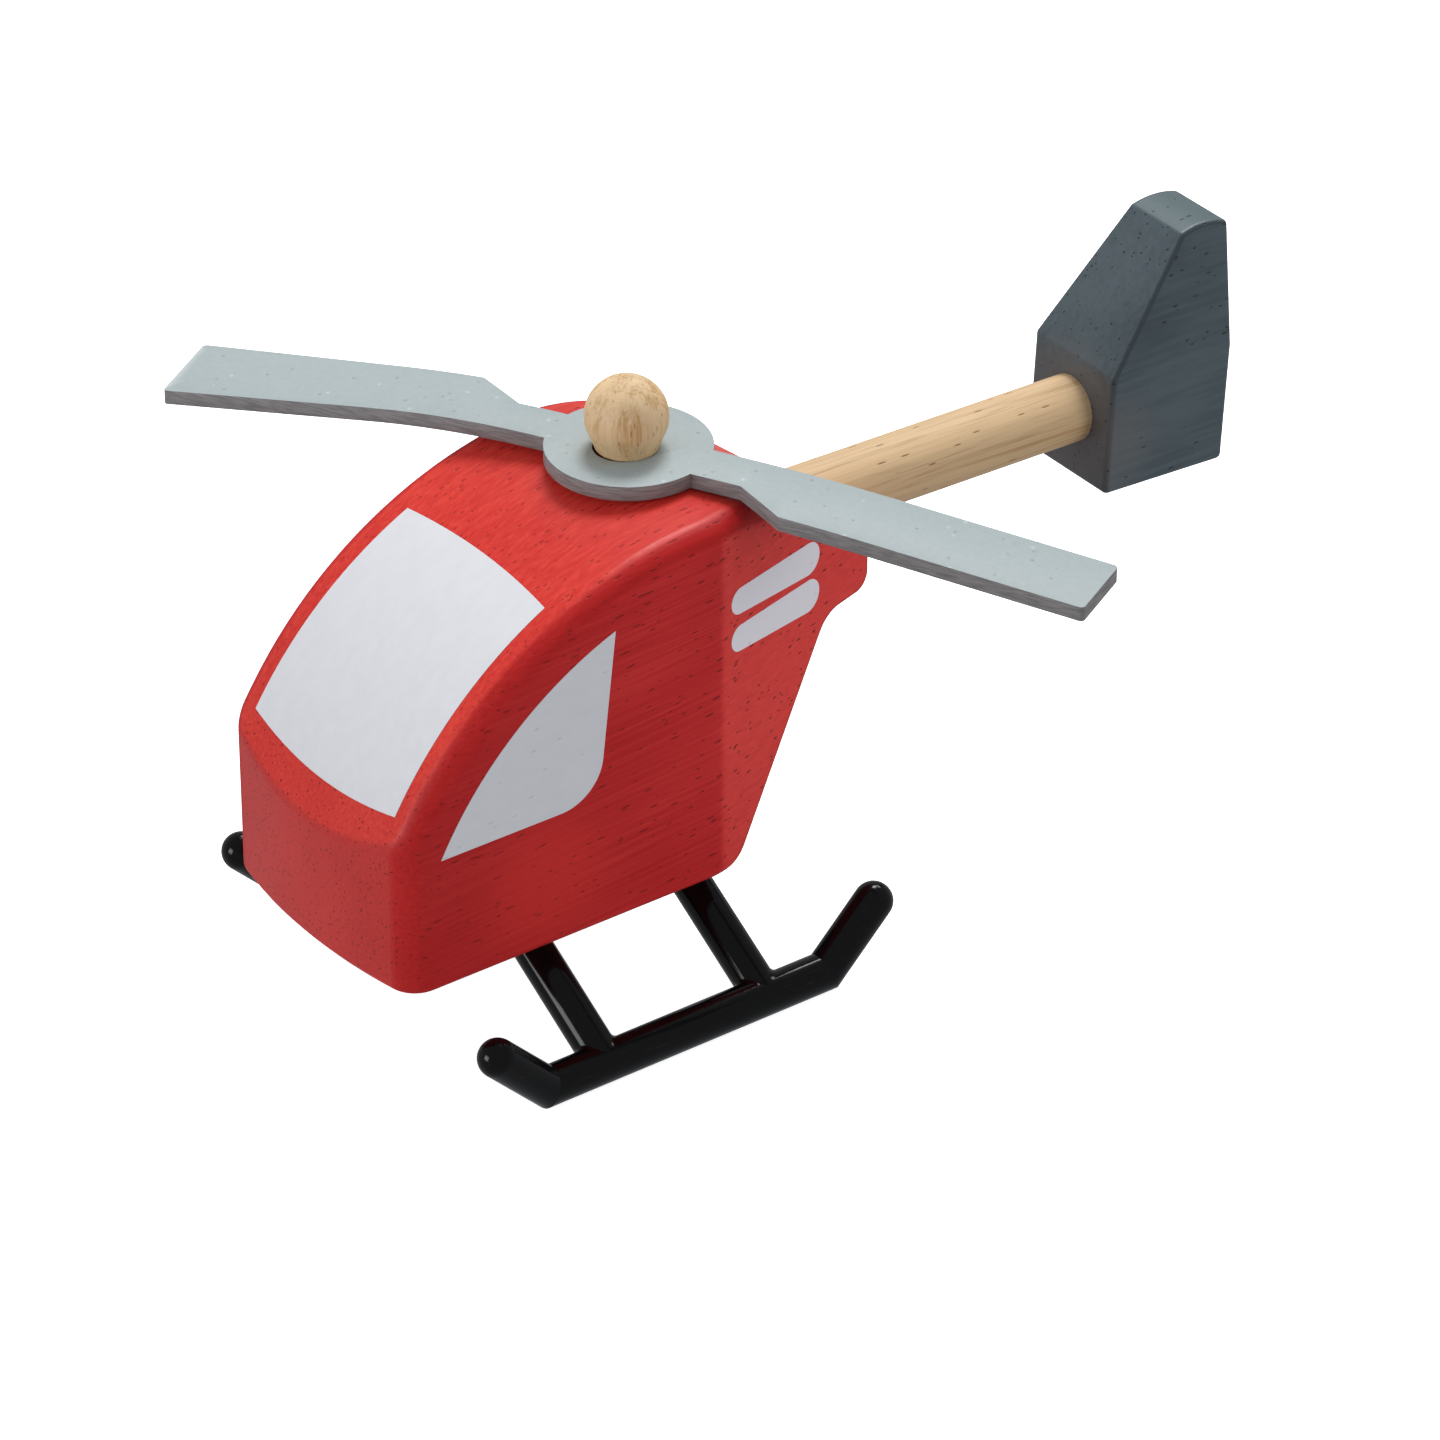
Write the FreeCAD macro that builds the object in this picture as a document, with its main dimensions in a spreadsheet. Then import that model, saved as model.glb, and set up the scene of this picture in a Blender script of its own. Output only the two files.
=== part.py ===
import FreeCAD, Part
import math
import os

V = FreeCAD.Vector
X_AXIS = V(1, 0, 0)
Y_AXIS = V(0, 1, 0)
Z_AXIS = V(0, 0, 1)
TOUCH = 0.01
PARALLEL = 0.999

# Toy helicopter, millimetres. The nose points to -Y, the tail to +Y, the skids to -Z.
# The origin lies on the floor, half way along the toy and on its plane of symmetry.
DIMENSIONS = {
    # cabin: a hardwood block cut to a side profile, then to a plan outline
    "mast_y": -28.6,
    "cabin_width": 52.0,
    "belly_z": 20.8,
    "nose_tip_y": -93.7,
    "nose_plan_radius": 110.0,
    "nose_corner_radius": 5.6,
    "roof_top_z": 88.4,
    "roof_radius": 73.0,
    "roof_centre_aft": 2.0,
    "roof_blend_radius": 28.0,
    "roof_fall_angle": 38.0,
    "tail_end_y": 10.7,
    "tail_lip_z": 57.3,
    "tail_lip_radius": 3.5,
    "underside_angle": 57.5,
    "underside_foot_y": -23.7,
    "underside_radius": 5.5,
    "side_taper_angle": 16.5,
    "side_taper_radius": 14.0,
    "rim_radius": 4.0,
    "edge_radius": 1.3,
    # tail boom: a dowel
    "boom_diameter": 12.0,
    "boom_droop": 1.55,
    "boom_socket_depth": 22.0,
    "fin_socket_depth": 16.0,
    "fin_front_y": 64.8,
    "fin_axis_z": 67.0,
    # tail fin: a square-cut block whose upper part is cut back in front and on both sides
    "fin_lean": 3.3,
    "fin_length": 26.2,
    "fin_below_axis": 12.4,
    "fin_waist_height": 10.0,
    "fin_above_axis": 31.9,
    "fin_top_setback": 16.0,
    "fin_width": 21.8,
    "fin_top_width": 14.3,
    "fin_edge_radius": 1.1,
    "fin_crown": 0.8,
    "fin_crown_radius": 14.0,
    # rotor: one flat sheet cut out, bent down by its own weight
    "rotor_top_z": 91.4,
    "rotor_thickness": 2.6,
    "rotor_angle": 28.2,
    "rotor_shift_x": -0.3,
    "rotor_shift_y": 0.6,
    "hub_radius": 14.0,
    "rotor_hole_diameter": 10.0,
    "hole_offset_x": -0.25,
    "hole_offset_y": -0.7,
    "blade_tip": 85.2,
    "blade_trailing": 4.1,
    "neck_leading": 4.4,
    "blade_leading": 10.3,
    "step_start": 22.3,
    "step_end": 31.8,
    "sag_start": 16.0,
    "sag_end": 46.0,
    "near_sag": 3.45,
    "far_sag": 8.3,
    "far_twist": 1.5,
    "tip_corner_radius": 0.8,
    # ball-headed peg that carries the rotor; the ball narrows to a flat foot over the sheet
    "ball_diameter": 14.0,
    "ball_centre_z": 97.1,
    "ball_foot_diameter": 10.6,
    "ball_foot_height": 2.4,
    "foot_clearance": 0.12,
    "peg_diameter": 8.0,
    "peg_depth": 22.0,
    # landing gear: four round rods
    "rod_radius": 3.4,
    "rail_spacing": 75.8,
    "rail_front_y": -72.6,
    "rail_rear_y": -15.9,
    "rail_front_rise": 13.6,
    "rail_rear_rise": 14.3,
    "rail_end_angle": 45.0,
    "strut_radius": 3.4,
    "strut_angle": 30.0,
    "strut_bend_radius": 9.0,
    "front_strut_y": -61.0,
    "rear_strut_y": -28.5,
    "spigot_diameter": 6.0,
    "spigot_length": 9.0,
    # prints: thin layers let into the wood, a hair proud of it
    "film": 0.4,
    "film_proud": 0.06,
    "glass_top_half": 19.5,
    "glass_foot_half": 20.3,
    "glass_top_forward": 30.3,
    "glass_foot_forward": 60.6,
    "glass_bow": 1.25,
    "window_inset": 7.8,
    "window_sill_z": 45.7,
    "window_post_forward": 24.6,
    "window_head_forward": 21.0,
    "window_corner_radius": 8.5,
    "vent_front_aft": 2.7,
    "vent_length": 24.0,
    "vent_front_height": 4.9,
    "vent_rear_height": 6.1,
    "upper_vent_z": 72.2,
    "lower_vent_z": 65.1,
    "vent_fall_angle": 3.4,
    # how far a cutter or a blank runs past the wood
    "spare": 4.0,
}

doc = FreeCAD.newDocument("toy_helicopter")
sheet = doc.addObject("Spreadsheet::Sheet", "dims")
for row, (alias, number) in enumerate(DIMENSIONS.items(), start=1):
    sheet.set(f"A{row}", alias)
    sheet.set(f"B{row}", str(number))
    sheet.setAlias(f"B{row}", alias)
doc.recompute()


def dim(alias):
    return float(sheet.get(alias))


def bind(target, prop, formula):
    """Drives one property from the sheet; {name} in the formula is a sheet cell."""
    words = {alias: f"dims.{alias}" for alias in DIMENSIONS}
    target.setExpression(prop, formula.format(**words))


def base_plane(body, role):
    return next(item for item in body.Origin.OriginFeatures if item.Role == role)


def new_body(label):
    body = doc.addObject("PartDesign::Body", label)
    body.Label = label
    return body


def new_sketch(body, name, role):
    sketch = body.newObject("Sketcher::SketchObject", name)
    sketch.AttachmentSupport = (base_plane(body, role), [""])
    sketch.MapMode = "FlatFace"
    return sketch


def flat(a, b):
    return V(a, b, 0)


def corner_arc(before, corner, after, radius):
    """The arc that rounds a corner, as its first, middle and last point."""
    to_before = (before - corner).normalize()
    to_after = (after - corner).normalize()
    half = to_before.getAngle(to_after) / 2
    reach = radius / math.tan(half)
    inward = (to_before + to_after).normalize()
    centre = corner + inward * (radius / math.sin(half))
    return corner + to_before * reach, centre - inward * radius, corner + to_after * reach


def rounded_loop(corners):
    """Closed outline through (point, radius) corners, rounded where the radius isn't zero."""
    count = len(corners)
    stops = []
    edges = []
    for index, (point, radius) in enumerate(corners):
        before = corners[index - 1][0]
        after = corners[(index + 1) % count][0]
        if radius:
            first, middle, last = corner_arc(V(before), V(point), V(after), radius)
            edges.append(Part.Arc(first, middle, last))
            stops.append((first, last))
        else:
            stops.append((point, point))
    for index in range(count):
        start = stops[index][1]
        end = stops[(index + 1) % count][0]
        if start.distanceToPoint(end) > TOUCH:
            edges.append(Part.LineSegment(start, end))
    return edges


def wire_of(edges):
    return Part.Wire(Part.__sortEdges__([edge.toShape() for edge in edges]))


def fillet_edges(body, base, name, chosen, radius_cell):
    """PartDesign fillet of the edges of base that chosen() accepts."""
    doc.recompute()
    names = [f"Edge{i}" for i, edge in enumerate(base.Shape.Edges, start=1) if chosen(edge)]
    fillet = body.newObject("PartDesign::Fillet", name)
    fillet.Base = (base, names)
    bind(fillet, "Radius", "{" + radius_cell + "}")
    return fillet


def middle_of(edge):
    return edge.valueAt((edge.FirstParameter + edge.LastParameter) / 2)


# ---------------------------------------------------------------- cabin

def roof_centre():
    """Centre of the long roof arc, in (y, z)."""
    return flat(dim("mast_y") + dim("roof_centre_aft"), dim("roof_top_z") - dim("roof_radius"))


def cabin_side_edges():
    """Side profile in (y, z): nose, roof arc, falling roof, tail lip, sloping underside, belly."""
    front = dim("nose_tip_y") - dim("spare") / 2
    centre = roof_centre()
    radius = dim("roof_radius")
    fall = math.radians(dim("roof_fall_angle"))
    blend = dim("roof_blend_radius")
    lift = math.radians(dim("underside_angle"))
    top = flat(centre.x, dim("roof_top_z"))
    nose_angle = math.acos((front - centre.x) / radius)
    nose_top = centre + flat(math.cos(nose_angle), math.sin(nose_angle)) * radius
    roof_mid_angle = (nose_angle + math.pi / 2) / 2
    roof_mid = centre + flat(math.cos(roof_mid_angle), math.sin(roof_mid_angle)) * radius
    blend_centre = top - flat(0, blend)
    blend_end = blend_centre + flat(math.sin(fall), math.cos(fall)) * blend
    blend_mid = blend_centre + flat(math.sin(fall / 2), math.cos(fall / 2)) * blend
    tail_y = dim("tail_end_y")
    tail_top = flat(tail_y, blend_end.y - (tail_y - blend_end.x) * math.tan(fall))
    lip = flat(tail_y, dim("tail_lip_z"))
    foot = flat(dim("underside_foot_y"), dim("belly_z"))
    inner = foot + flat(1 / math.tan(lift), 1) * (lip.y - foot.y)
    chin = flat(front, dim("belly_z"))
    lip_arc = corner_arc(tail_top, lip, inner, dim("tail_lip_radius"))
    inner_arc = corner_arc(lip, inner, foot, dim("underside_radius"))
    foot_arc = corner_arc(inner, foot, chin, dim("underside_radius"))
    return [
        Part.LineSegment(chin, nose_top),
        Part.Arc(nose_top, roof_mid, top),
        Part.Arc(top, blend_mid, blend_end),
        Part.LineSegment(blend_end, tail_top),
        Part.LineSegment(tail_top, lip_arc[0]),
        Part.Arc(*lip_arc),
        Part.LineSegment(lip_arc[2], inner_arc[0]),
        Part.Arc(*inner_arc),
        Part.LineSegment(inner_arc[2], foot_arc[0]),
        Part.Arc(*foot_arc),
        Part.LineSegment(foot_arc[2], chin),
    ]


def nose_corner():
    """Plan rounding between the nose and the left side: centre and the angle where it ends."""
    half = dim("cabin_width") / 2
    small = dim("nose_corner_radius")
    large = dim("nose_plan_radius")
    x = half - small
    nose_centre_y = dim("nose_tip_y") + large
    y = nose_centre_y - math.sqrt((large - small) ** 2 - x ** 2)
    return flat(x, y), math.atan2(x, nose_centre_y - y)


def cabin_plan_edges():
    """Plan outline in (x, y): bowed nose, rounded corners, parallel sides, tapered tail."""
    half = dim("cabin_width") / 2
    small = dim("nose_corner_radius")
    taper = math.radians(dim("side_taper_angle"))
    behind = dim("tail_end_y") + dim("spare")
    centre, swing = nose_corner()
    join = centre + flat(math.sin(swing), -math.cos(swing)) * small
    half_swing = (swing + math.pi / 2) / 2
    middle = centre + flat(math.sin(half_swing), -math.cos(half_swing)) * small
    side = centre + flat(small, 0)
    crease = flat(half, dim("mast_y"))
    rear = flat(half - (behind - crease.y) * math.tan(taper), behind)
    bend = corner_arc(side, crease, rear, dim("side_taper_radius"))
    edges = [Part.Arc(flat(-join.x, join.y), flat(0, dim("nose_tip_y")), join)]
    for sign in (1, -1):
        points = [flat(sign * p.x, p.y) for p in (join, middle, side, *bend, rear)]
        edges.append(Part.Arc(points[0], points[1], points[2]))
        edges.append(Part.LineSegment(points[2], points[3]))
        edges.append(Part.Arc(points[3], points[4], points[5]))
        edges.append(Part.LineSegment(points[5], points[6]))
    edges.append(Part.LineSegment(rear, flat(-rear.x, rear.y)))
    return edges


def stock_frame_edges():
    """A rectangle well outside the cabin, which bounds the wood that the plan cut takes away."""
    wide = dim("cabin_width")
    front = dim("nose_tip_y") - wide
    behind = dim("tail_end_y") + wide
    corners = ((-wide, front), (wide, front), (wide, behind), (-wide, behind))
    return rounded_loop([(flat(x, y), 0) for x, y in corners])


def roof_foot_z():
    """Height at which the roof arc meets the tip of the nose."""
    centre = roof_centre()
    return centre.y + math.sqrt(dim("roof_radius") ** 2 - (dim("nose_tip_y") - centre.x) ** 2)


def tangent_of(edge):
    return edge.tangentAt((edge.FirstParameter + edge.LastParameter) / 2)


def is_above_lip(point):
    """True on the roof side of the profile, false along the sloping underside."""
    ahead_of_underside = point.y < dim("underside_foot_y")
    return ahead_of_underside or point.z > dim("tail_lip_z") + dim("underside_radius")


def is_roof_rim(edge):
    """Edges where the roof meets the nose and the sides."""
    point = middle_of(edge)
    on_roof = point.z > roof_foot_z() - TOUCH and is_above_lip(point)
    at_tail = abs(point.y - dim("tail_end_y")) < TOUCH
    behind_nose = point.y > dim("nose_tip_y") + dim("spare")
    roof_seam = behind_nose and abs(tangent_of(edge).x) > PARALLEL
    upright = abs(tangent_of(edge).z) > PARALLEL
    return on_roof and not (at_tail or roof_seam or upright)


def is_lower_rim(edge):
    """Edges where the belly meets the nose and the sides."""
    point = middle_of(edge)
    in_belly = abs(point.z - dim("belly_z")) < TOUCH
    at_nose = point.y < dim("nose_tip_y") + TOUCH
    return in_belly and (at_nose or abs(tangent_of(edge).x) < PARALLEL)


def cabin_block():
    body = new_body("cabin_block")
    side = new_sketch(body, "cabin_side", "YZ_Plane")
    side.addGeometry(cabin_side_edges(), False)
    pad = body.newObject("PartDesign::Pad", "cabin_pad")
    pad.Profile = side
    pad.Midplane = True
    bind(pad, "Length", "{cabin_width} + {spare}")
    plan = new_sketch(body, "cabin_plan", "XY_Plane")
    plan.addGeometry(cabin_plan_edges() + stock_frame_edges(), False)
    trimmed = body.newObject("PartDesign::Pocket", "cabin_plan_cut")
    trimmed.Profile = plan
    trimmed.Midplane = True
    bind(trimmed, "Length", "{roof_top_z} * 4")
    roof = fillet_edges(body, trimmed, "roof_rim", is_roof_rim, "rim_radius")
    body.Tip = roof
    fillet_edges(body, roof, "lower_rim", is_lower_rim, "edge_radius")
    return body


# ---------------------------------------------------------------- shared solids

def sized_cylinder(name, radius, height):
    cylinder = doc.addObject("Part::Cylinder", name)
    bind(cylinder, "Radius", radius)
    bind(cylinder, "Height", height)
    return cylinder


def fuse(name, shapes):
    whole = doc.addObject("Part::MultiFuse", name)
    whole.Shapes = shapes
    return whole


def cut(name, base, tool):
    rest = doc.addObject("Part::Cut", name)
    rest.Base = base
    rest.Tool = tool
    return rest


def common(name, shapes):
    both = doc.addObject("Part::MultiCommon", name)
    both.Shapes = shapes
    return both


def boom_frame(aft, droop_cell="boom_droop"):
    """Placement on the drooping boom axis, aft of the fin's front face: +Y along, +Z up."""
    turn = FreeCAD.Rotation(X_AXIS, -dim(droop_cell))
    origin = V(0, dim("fin_front_y"), dim("fin_axis_z"))
    return FreeCAD.Placement(origin + turn.multVec(Y_AXIS) * aft, turn)


def lay_along_boom(solid, aft):
    """Turns a cylinder made along Z so that it runs aft along the boom axis."""
    solid.Placement = boom_frame(aft) * FreeCAD.Placement(V(), FreeCAD.Rotation(X_AXIS, -90))


def boom_front():
    """How far the boom's front end lies ahead of the fin's front face."""
    return dim("fin_front_y") - dim("tail_end_y") + dim("boom_socket_depth")


def boom_cylinder(name):
    length = "{fin_front_y} - {tail_end_y} + {boom_socket_depth} + {fin_socket_depth}"
    dowel = sized_cylinder(name, "{boom_diameter} / 2", length)
    lay_along_boom(dowel, -boom_front())
    return dowel


def peg_cylinder(name):
    shank = sized_cylinder(name, "{peg_diameter} / 2", "{ball_centre_z} - {roof_top_z} + {peg_depth}")
    bind(shank, "Placement.Base.y", "{mast_y}")
    bind(shank, "Placement.Base.z", "{roof_top_z} - {peg_depth}")
    return shank


def spigot_cylinder(name, strut_y):
    """The short peg on a cross tube that is glued up into the belly."""
    spigot = sized_cylinder(name, "{spigot_diameter} / 2", "{spigot_length} + {strut_radius}")
    bind(spigot, "Placement.Base.y", "{" + strut_y + "}")
    bind(spigot, "Placement.Base.z", "{belly_z} - {strut_radius}")
    return spigot


def cabin(films):
    """The block less the films let into it and the blind sockets for boom, peg and cross tubes."""
    removed = fuse("cabin_sockets", films + [
        boom_cylinder("boom_socket"),
        peg_cylinder("peg_socket"),
        spigot_cylinder("front_spigot_socket", "front_strut_y"),
        spigot_cylinder("rear_spigot_socket", "rear_strut_y"),
    ])
    return cut("cabin", cabin_block(), removed)


# ---------------------------------------------------------------- tail

def fin_side_edges():
    """Side view in (aft, up) from the boom axis: upright to the waist, cut back, crowned top."""
    rear = dim("fin_length")
    foot = -dim("fin_below_axis")
    top = dim("fin_above_axis")
    setback = dim("fin_top_setback")
    crest = flat((setback + rear) / 2, top + dim("fin_crown") * 2)
    return rounded_loop([
        (flat(0, foot), 0),
        (flat(rear, foot), 0),
        (flat(rear, top), 0),
        (crest, dim("fin_crown_radius")),
        (flat(setback, top), 0),
        (flat(0, dim("fin_waist_height")), 0),
    ])


def fin_front_outline():
    """Front view in (across, up): parallel sides up to the waist, narrowing to above the crown."""
    waist = dim("fin_waist_height")
    top = dim("fin_above_axis")
    clear = top + dim("spare")
    narrowing = (dim("fin_width") - dim("fin_top_width")) / (top - waist)
    levels = ((-dim("fin_below_axis"), dim("fin_width")), (waist, dim("fin_width")),
              (clear, dim("fin_width") - narrowing * (clear - waist)))
    right = [(flat(width / 2, level), 0) for level, width in levels]
    left = [(flat(-width / 2, level), 0) for level, width in reversed(levels)]
    return right + left


def is_fin_edge(edge):
    """The fin's sharp edges: all but the two across the crowned top, where it is smooth."""
    on_crown = middle_of(edge).z > dim("fin_above_axis") + TOUCH
    return not (on_crown and abs(tangent_of(edge).x) > PARALLEL)


def fin_block():
    body = new_body("fin_block")
    side = new_sketch(body, "fin_side", "YZ_Plane")
    side.addGeometry(fin_side_edges(), False)
    pad = body.newObject("PartDesign::Pad", "fin_pad")
    pad.Profile = side
    pad.Midplane = True
    bind(pad, "Length", "{fin_width} + {spare}")
    front = new_sketch(body, "fin_front", "XZ_Plane")
    wide = dim("fin_above_axis") * 2
    stock = [(flat(x, z), 0) for x, z in ((-wide, -wide), (wide, -wide), (wide, wide), (-wide, wide))]
    front.addGeometry(rounded_loop(fin_front_outline()) + rounded_loop(stock), False)
    trim = body.newObject("PartDesign::Pocket", "fin_trim")
    trim.Profile = front
    trim.Midplane = True
    bind(trim, "Length", "{fin_length} * 4")
    fillet_edges(body, trim, "fin_edges", is_fin_edge, "fin_edge_radius")
    body.Placement = boom_frame(0, "fin_lean")
    return body


def tail_fin():
    return cut("tail_fin", fin_block(), boom_cylinder("fin_socket"))


# ---------------------------------------------------------------- rotor

def sag_line(side, sag):
    """One blade's underside in (along, up): level over the hub, an arc, then straight to the tip."""
    bend = dim("sag_end") - dim("sag_start")
    straight = dim("blade_tip") - dim("sag_end")
    slope = math.atan(sag / (bend / 2 + straight))
    radius = bend / math.sin(slope)

    def at(turn):
        return V(side * (dim("sag_start") + radius * math.sin(turn)), 0, radius * (math.cos(turn) - 1))

    run = straight + dim("spare")
    tip = at(slope) + V(side * run, 0, -run * math.tan(slope))
    return at(0), at(slope / 2), at(slope), tip


def sheet_section(offset, far_sag):
    """Cross-section of the bent sheet at one distance across the blades."""
    near = sag_line(1, dim("near_sag"))
    far = sag_line(-1, far_sag)
    rise = V(0, 0, dim("rotor_thickness"))
    aside = V(0, offset, 0)
    lower = [point + aside for point in far[::-1] + near]
    upper = [point + rise for point in lower]
    edges = [
        Part.LineSegment(lower[0], lower[1]),
        Part.Arc(lower[1], lower[2], lower[3]),
        Part.LineSegment(lower[3], lower[4]),
        Part.Arc(lower[4], lower[5], lower[6]),
        Part.LineSegment(lower[6], lower[7]),
        Part.LineSegment(lower[7], upper[7]),
        Part.LineSegment(upper[7], upper[6]),
        Part.Arc(upper[6], upper[5], upper[4]),
        Part.LineSegment(upper[4], upper[3]),
        Part.Arc(upper[3], upper[2], upper[1]),
        Part.LineSegment(upper[1], upper[0]),
        Part.LineSegment(upper[0], lower[0]),
    ]
    return Part.Wire([edge.toShape() for edge in edges])


def bent_sheet():
    """A strip of sheet wider than the rotor, sagging on both sides and twisted on the far one."""
    reach = dim("hub_radius") + dim("spare")
    slope = dim("far_twist") / (dim("blade_trailing") + dim("blade_leading"))
    sections = [sheet_section(offset, dim("far_sag") - slope * offset) for offset in (-reach, reach)]
    return Part.makeLoft(sections, True, True)


def blade_corners():
    """One blade of the flat cutting outline, from its leading root round to its trailing root."""
    tip = dim("blade_tip")
    soft = dim("tip_corner_radius")
    return [
        (flat(0, -dim("neck_leading")), 0),
        (flat(dim("step_start"), -dim("neck_leading")), soft),
        (flat(dim("step_end"), -dim("blade_leading")), soft),
        (flat(tip, -dim("blade_leading")), soft),
        (flat(tip, dim("blade_trailing")), soft),
        (flat(0, dim("blade_trailing")), 0),
    ]


def cutting_prism():
    """The rotor's flat outline as a tall prism: two equal blades and the round hub."""
    height = dim("rotor_top_z")
    down = V(0, 0, -height / 2)
    blade = Part.Face(wire_of(rounded_loop(blade_corners()))).extrude(V(0, 0, height))
    blade.translate(down)
    other = blade.copy()
    other.rotate(V(), Z_AXIS, 180)
    return blade.fuse([other, Part.makeCylinder(dim("hub_radius"), height, down)])


def rotor():
    """The bent sheet cut to outline, with its loose hole a little off the hub's centre."""
    item = doc.addObject("Part::Feature", "uncut_rotor")
    item.Shape = bent_sheet().common(cutting_prism()).Solids[0]
    underside = dim("rotor_top_z") - dim("rotor_thickness")
    turn = FreeCAD.Rotation(Z_AXIS, dim("rotor_angle"))
    centre = V(dim("rotor_shift_x"), dim("mast_y") + dim("rotor_shift_y"), underside)
    item.Placement = FreeCAD.Placement(centre, turn)
    hole = sized_cylinder("rotor_hole", "{rotor_hole_diameter} / 2", "{rotor_top_z}")
    bind(hole, "Placement.Base.x", "{hole_offset_x}")
    bind(hole, "Placement.Base.y", "{mast_y} + {hole_offset_y}")
    return cut("rotor", item, hole)


def rotor_peg():
    ball = doc.addObject("Part::Sphere", "peg_ball")
    bind(ball, "Radius", "{ball_diameter} / 2")
    bind(ball, "Placement.Base.y", "{mast_y}")
    bind(ball, "Placement.Base.z", "{ball_centre_z}")
    foot = doc.addObject("Part::Cone", "ball_foot")
    drop = "({ball_centre_z} - {rotor_top_z} - {foot_clearance} - {ball_foot_height})"
    bind(foot, "Radius1", "{ball_foot_diameter} / 2")
    bind(foot, "Radius2", "sqrt(({ball_diameter} / 2) ^ 2 - " + drop + " ^ 2)")
    bind(foot, "Height", "{ball_foot_height}")
    bind(foot, "Placement.Base.y", "{mast_y}")
    bind(foot, "Placement.Base.z", "{rotor_top_z} + {foot_clearance}")
    return fuse("rotor_peg", [ball, foot, peg_cylinder("peg_shank")])


# ---------------------------------------------------------------- landing gear

def rail_path(side):
    """Centre line of one rail: turned-up front end, straight run on the floor, turned-up rear."""
    x = side * dim("rail_spacing") / 2
    level = dim("rod_radius")
    lift = math.radians(dim("rail_end_angle"))
    front = V(x, dim("rail_front_y"), level)
    rear = V(x, dim("rail_rear_y"), level)
    front_tip = front + V(0, -math.cos(lift), math.sin(lift)) * dim("rail_front_rise")
    rear_tip = rear + V(0, math.cos(lift), math.sin(lift)) * dim("rail_rear_rise")
    return [front_tip, front, rear, rear_tip]


def swept_rod(name, path, radius_cell, sharp):
    """A round rod along a path, with mitred corners if sharp."""
    spine = doc.addObject("Part::Feature", f"{name}_spine")
    spine.Shape = path
    start = path.Vertexes[0].Point
    heading = path.Edges[0].tangentAt(path.Edges[0].FirstParameter)
    ring = doc.addObject("Part::Circle", f"{name}_ring")
    bind(ring, "Radius", "{" + radius_cell + "}")
    ring.Placement = FreeCAD.Placement(start, FreeCAD.Rotation(Z_AXIS, heading))
    sweep = doc.addObject("Part::Sweep", f"{name}_rod")
    sweep.Sections = [ring]
    sweep.Spine = (spine, [f"Edge{i + 1}" for i in range(len(path.Edges))])
    sweep.Solid = True
    sweep.Frenet = False
    sweep.Transition = "Right corner" if sharp else "Transformed"
    return sweep


def skid_rail(name, side):
    points = rail_path(side)
    pieces = [swept_rod(name, Part.makePolygon(points), "rod_radius", True)]
    for end, point in (("front", points[0]), ("rear", points[-1])):
        dome = doc.addObject("Part::Sphere", f"{name}_{end}_dome")
        bind(dome, "Radius", "{rod_radius}")
        dome.Placement = FreeCAD.Placement(point, FreeCAD.Rotation())
        pieces.append(dome)
    return fuse(name, pieces)


def strut_path(strut_y):
    """Centre line of a cross tube: up from one rail, level under the belly, down to the other."""
    x = dim("rail_spacing") / 2
    low = dim("rod_radius")
    high = dim("belly_z") - dim("strut_radius")
    run = (high - low) / math.tan(math.radians(dim("strut_angle")))
    right = V(x, strut_y, low)
    bend = V(x - run, strut_y, high)
    first, middle, last = corner_arc(right, bend, V(0, strut_y, high), dim("strut_bend_radius"))

    def mirror(point):
        return V(-point.x, point.y, point.z)

    edges = [
        Part.LineSegment(right, first),
        Part.Arc(first, middle, last),
        Part.LineSegment(last, mirror(last)),
        Part.Arc(mirror(last), mirror(middle), mirror(first)),
        Part.LineSegment(mirror(first), mirror(right)),
    ]
    return Part.Wire([edge.toShape() for edge in edges])


def cross_tube(name, strut_cell, rails):
    """Bent rod between the rails with a spigot on top; its ends are coped to the round rails."""
    tube = swept_rod(name, strut_path(dim(strut_cell)), "strut_radius", False)
    whole = fuse(f"{name}_whole", [tube, spigot_cylinder(f"{name}_spigot", strut_cell)])
    return cut(name, whole, rails)


def landing_gear():
    """Two rails and the two cross tubes that join them."""
    rails = [skid_rail("left_skid", 1), skid_rail("right_skid", -1)]
    both = fuse("rail_pair", rails)
    tubes = [cross_tube("front_cross_tube", "front_strut_y", both),
             cross_tube("rear_cross_tube", "rear_strut_y", both)]
    return rails + tubes


# ---------------------------------------------------------------- paint films

def film_depth():
    """How deep a film lies in the wood."""
    return dim("film") - dim("film_proud")


def film_body(label, name, edges):
    """A flat film: an outline in the body's own XY plane, as thick as the film."""
    body = new_body(label)
    outline = new_sketch(body, name, "XY_Plane")
    outline.addGeometry(edges, False)
    pad = body.newObject("PartDesign::Pad", f"{name}_pad")
    pad.Profile = outline
    bind(pad, "Length", "{film}")
    return body


def windscreen_edges():
    """Plan outline of the windscreen: straight sides, its top and foot bowed outwards."""
    mast = dim("mast_y")
    top = flat(dim("glass_top_half"), mast - dim("glass_top_forward"))
    foot = flat(dim("glass_foot_half"), mast - dim("glass_foot_forward"))
    bow = flat(0, dim("glass_bow"))

    def mirror(point):
        return flat(-point.x, point.y)

    return [
        Part.Arc(mirror(top), flat(0, top.y) + bow, top),
        Part.LineSegment(top, foot),
        Part.Arc(foot, flat(0, foot.y) - bow, mirror(foot)),
        Part.LineSegment(mirror(foot), mirror(top)),
    ]


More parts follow.
